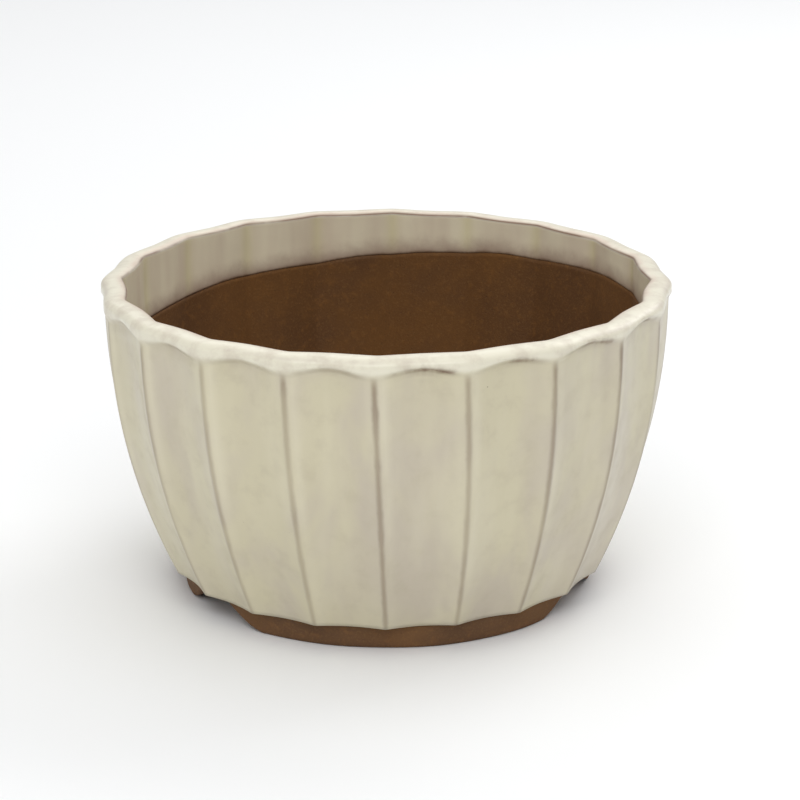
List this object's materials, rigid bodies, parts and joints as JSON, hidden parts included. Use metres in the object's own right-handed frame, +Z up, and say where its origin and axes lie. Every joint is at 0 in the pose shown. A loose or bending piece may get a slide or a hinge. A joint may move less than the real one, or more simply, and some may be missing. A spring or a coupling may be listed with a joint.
{
  "type": "bonsai pot",
  "caption": "Round fluted stoneware bonsai pot with a scalloped lip, cream glaze, three luted feet, drain hole, tie-wire holes, and a drain screen held by a wire clip.",
  "frame": {"origin": "centre of the pot on the surface that its feet stand on", "axes": "+Z up along the pot's axis; one sharp edge between two flutes points along +X at the rim; the front foot faces -Y"},
  "size_m": [0.174, 0.174, 0.0958],
  "materials": {
    "bare_clay": "unglazed dark brown stoneware, fine matte grain",
    "cream_glaze": "satin cream glaze, thinner and brown where it breaks over the sharp edges",
    "foot_clay": "unglazed dark brown stoneware, wiped smooth",
    "screen_plastic": "matte black extruded mesh",
    "clip_wire": "satin copper-brown anodised wire"
  },
  "bodies": {
    "root": {"vessel": "bare_clay", "glaze_coat": "cream_glaze", "foot_left": "foot_clay", "foot_front": "foot_clay", "foot_right": "foot_clay", "drain_screen": "screen_plastic", "screen_clip": "clip_wire"}
  },
  "joints": []
}
